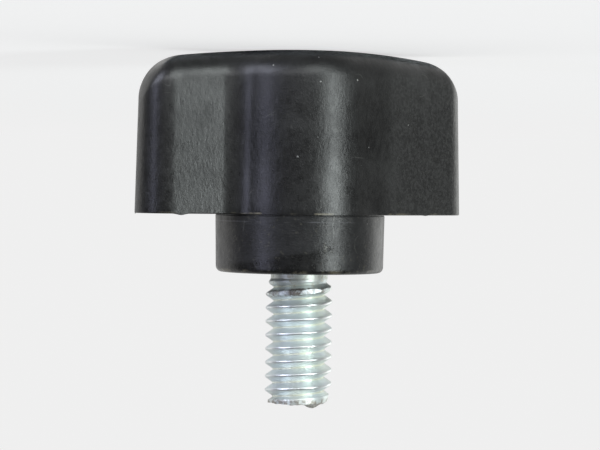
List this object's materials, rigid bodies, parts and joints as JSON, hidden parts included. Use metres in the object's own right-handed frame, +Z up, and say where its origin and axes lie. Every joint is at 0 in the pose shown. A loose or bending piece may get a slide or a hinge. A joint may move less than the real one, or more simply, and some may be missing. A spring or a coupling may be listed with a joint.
{
  "type": "furniture leveling foot",
  "caption": "Threaded leveling foot: a black plastic head with a domed crown and a pair of cranked wings to turn it by, a round hub, and a zinc-plated steel stud moulded in.",
  "frame": {"origin": "lowest point of the head's domed crown, on the stud's axis, where the foot touches the floor", "axes": "+Z up along the stud's axis, from the crown to the stud's free end; the line through both wing tips lies in the XY plane, 22 degrees clockwise from +X seen from above, so the wide side of the head faces -Y"},
  "size_m": [0.0302, 0.0158, 0.033],
  "materials": {
    "moulded_plastic": "satin, fine moulded grain",
    "zinc_plated_steel": "bright zinc plate with a faint yellow and green cast"
  },
  "bodies": {
    "root": {"wing_head": "moulded_plastic", "threaded_stud": "zinc_plated_steel"}
  },
  "joints": []
}
